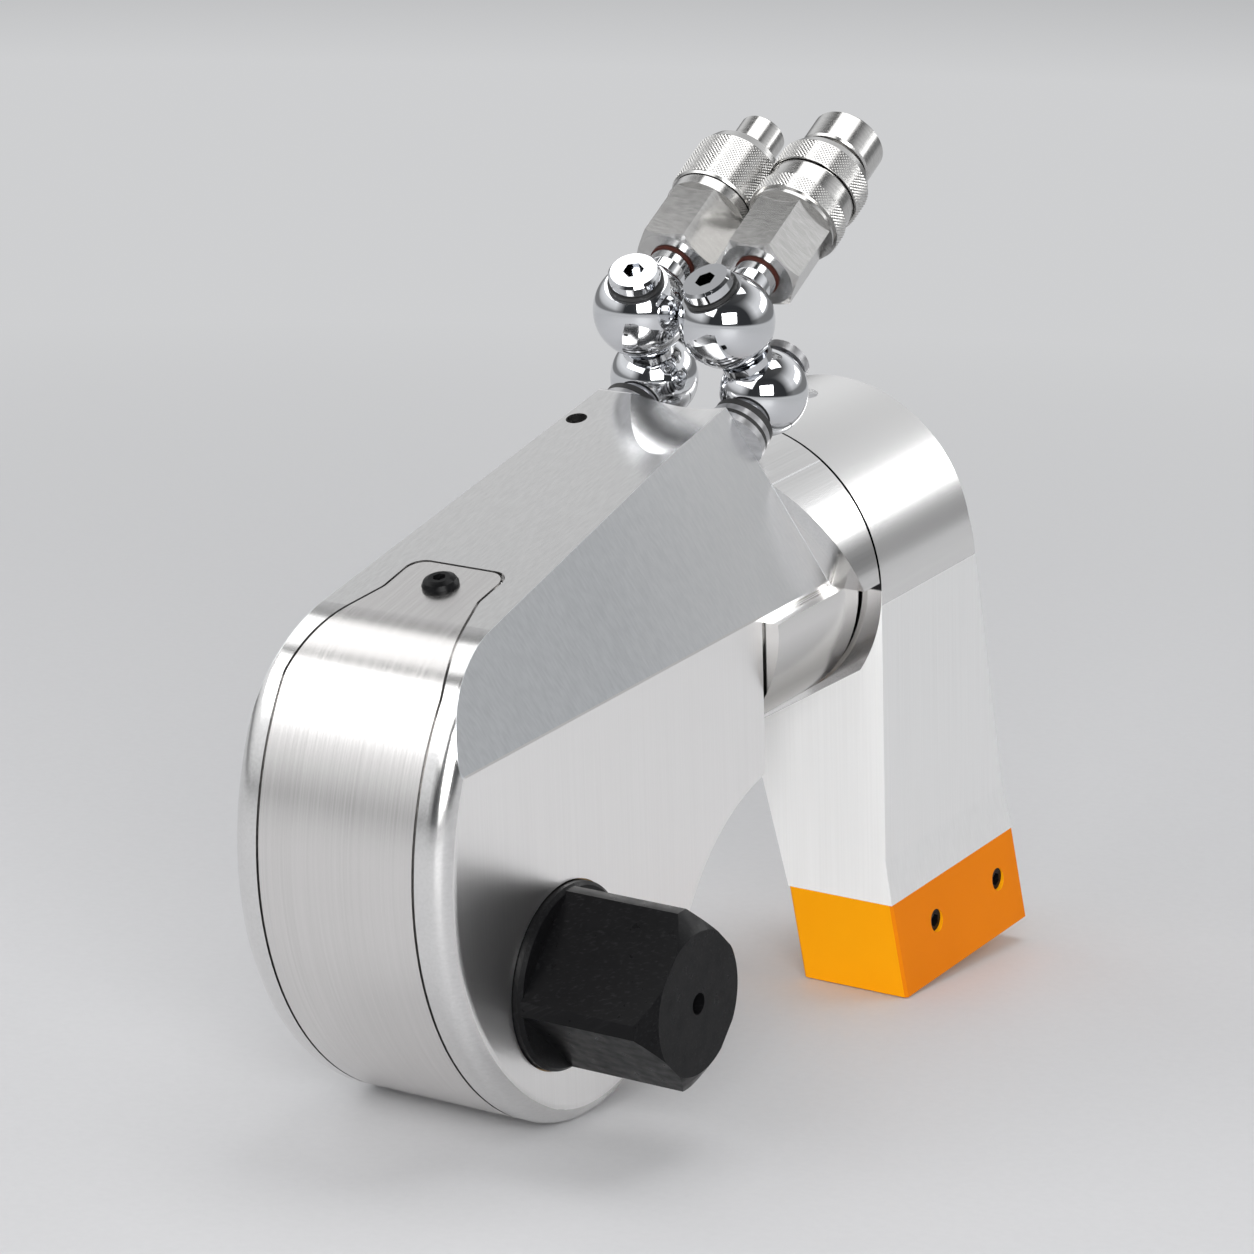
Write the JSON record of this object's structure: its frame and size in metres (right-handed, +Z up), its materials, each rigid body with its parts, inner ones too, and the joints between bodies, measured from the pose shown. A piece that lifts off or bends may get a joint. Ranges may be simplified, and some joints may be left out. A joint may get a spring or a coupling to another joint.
{
  "type": "hydraulic torque wrench",
  "caption": "Square-drive hydraulic torque wrench with a rounded nose, a cylinder, a sliding reaction arm with an orange foot and a ball-jointed hose swivel.",
  "frame": {"origin": "where the drive's axis crosses the side face the square drive stands out of", "axes": "+X along the drive's axis, out through the square; +Y along the cylinder, towards the reaction arm; +Z up, away from the arm's foot"},
  "size_m": [0.1197, 0.2779, 0.251],
  "materials": {
    "body_alloy": "fine brushed",
    "cover_alloy": "brushed sheet",
    "arm_alloy": "satin",
    "black_steel": "black oxide",
    "inner_steel": "machined",
    "spring_steel": "oiled",
    "bronze": "plain bearing",
    "seal": "smooth",
    "chrome": "mirror",
    "coupler_steel": "satin nickel",
    "neck_ring": "smooth",
    "orange_pad": "satin orange"
  },
  "bodies": {
    "housing_body": {"housing": "body_alloy", "nose_cover": "cover_alloy", "cover_screws": "black_steel", "drive_bushings": "bronze", "retaining_pin": "inner_steel", "retaining_spring": "spring_steel", "rod_gland": "bronze", "rod_seal": "seal", "gland_seal": "seal", "end_cap": "body_alloy", "end_cap_seal": "seal", "swivel_posts": "inner_steel", "post_rings": "seal"},
    "lever_body": {"lever_plates": "inner_steel", "lever_pin": "inner_steel", "lever_bridge": "inner_steel", "lever_rivets": "inner_steel", "drive_pawl_springs": "spring_steel"},
    "drive_body": {"square_drive": "black_steel", "ratchet_wheel": "inner_steel", "retainer_cap": "black_steel", "retainer_spring": "spring_steel"},
    "button_body": {"retainer_button": "coupler_steel"},
    "piston_body": {"piston": "inner_steel", "piston_seal": "seal", "piston_rod": "inner_steel", "piston_nut": "inner_steel", "rod_end": "inner_steel"},
    "drive_pawl_body": {"drive_pawl": "inner_steel"},
    "retaining_pawl_body": {"retaining_pawl": "inner_steel"},
    "arm_body": {"reaction_arm": "arm_alloy", "reaction_pad": "orange_pad", "pad_screws": "black_steel", "lock_spring": "spring_steel", "lock_screw": "inner_steel"},
    "plunger_body": {"lock_plunger": "inner_steel"},
    "lower_swivel_advance": {"lower_ball_advance": "chrome", "upper_bolt_advance": "chrome", "upper_ring_advance": "seal"},
    "coupler_advance_body": {"upper_ball_advance": "chrome", "coupler_body_advance": "coupler_steel", "coupler_end_advance": "coupler_steel", "neck_ring_advance": "neck_ring"},
    "collar_advance_body": {"coupler_collar_advance": "coupler_steel"},
    "lower_swivel_retract": {"lower_ball_retract": "chrome", "upper_bolt_retract": "chrome", "upper_ring_retract": "seal"},
    "coupler_retract_body": {"upper_ball_retract": "chrome", "coupler_body_retract": "coupler_steel", "coupler_end_retract": "coupler_steel", "neck_ring_retract": "neck_ring"},
    "collar_retract_body": {"coupler_collar_retract": "coupler_steel"}
  },
  "joints": [
    {"name": "lever_swing", "type": "hinge", "parent": "housing_body", "child": "lever_body", "pos_m": [-0.0338, 0, 0], "axis": [1, 0, 0], "range_deg": [-12, 12]},
    {"name": "drive_turn", "type": "hinge", "parent": "housing_body", "child": "drive_body", "pos_m": [-0.0338, 0, 0], "axis": [1, 0, 0], "range_deg": [-12, 12]},
    {"name": "retainer_press", "type": "slide", "parent": "drive_body", "child": "button_body", "axis": [1, 0, 0], "range_m": [0, 0.0025], "stiffness_N_per_m": 900, "springref_m": -0.002},
    {"name": "piston_stroke", "type": "slide", "parent": "housing_body", "child": "piston_body", "axis": [0, 1, 0], "range_m": [-0.01335, 0.01335]},
    {"name": "drive_pawl_lift", "type": "slide", "parent": "lever_body", "child": "drive_pawl_body", "axis": [0, 0, 1], "range_m": [0, 0.0026], "stiffness_N_per_m": 1500, "springref_m": -0.002, "deforming": ["drive_pawl_springs"]},
    {"name": "retaining_pawl_click", "type": "hinge", "parent": "housing_body", "child": "retaining_pawl_body", "pos_m": [-0.0338, -0.0405, 0.031], "axis": [1, 0, 0], "range_deg": [-5, 0], "stiffness_Nm_per_rad": 0.6, "springref_deg": 14.32},
    {"name": "arm_slide", "type": "slide", "parent": "housing_body", "child": "arm_body", "axis": [0, 1, 0], "range_m": [0, 0.026]},
    {"name": "lock_release", "type": "slide", "parent": "arm_body", "child": "plunger_body", "axis": [0, 0, 1], "range_m": [0, 0.0018], "stiffness_N_per_m": 1200, "springref_m": -0.002, "deforming": ["lock_spring"]},
    {"name": "lower_swivel_advance_turn", "type": "hinge", "parent": "housing_body", "child": "lower_swivel_advance", "pos_m": [-0.0158, 0.13273, 0.12359], "axis": [0, 0.8829, 0.4695], "range_deg": [0, 45]},
    {"name": "upper_swivel_advance_turn", "type": "hinge", "parent": "lower_swivel_advance", "child": "coupler_advance_body", "pos_m": [-0.0199, 0.12049, 0.14662], "axis": [-0.1553, -0.4638, 0.8722], "range_deg": [-90, 0]},
    {"name": "collar_advance_turn", "type": "hinge", "parent": "coupler_advance_body", "child": "collar_advance_body", "pos_m": [-0.0199, 0.12049, 0.14662], "axis": [0, 0.8829, 0.4695], "continuous": true},
    {"name": "lower_swivel_retract_turn", "type": "hinge", "parent": "housing_body", "child": "lower_swivel_retract", "pos_m": [-0.0518, 0.13273, 0.12359], "axis": [0, 0.8829, 0.4695], "range_deg": [-45, 0]},
    {"name": "upper_swivel_retract_turn", "type": "hinge", "parent": "lower_swivel_retract", "child": "coupler_retract_body", "pos_m": [-0.0477, 0.12049, 0.14662], "axis": [0.1553, -0.4638, 0.8722], "range_deg": [0, 90]},
    {"name": "collar_retract_turn", "type": "hinge", "parent": "coupler_retract_body", "child": "collar_retract_body", "pos_m": [-0.0477, 0.12049, 0.14662], "axis": [0, 0.8829, 0.4695], "continuous": true}
  ],
  "couplings": [
    {"joint": "drive_turn", "follows": "lever_swing", "ratio": 1},
    {"joint": "piston_stroke", "follows": "lever_swing", "m_per_rad": -0.06353}
  ]
}
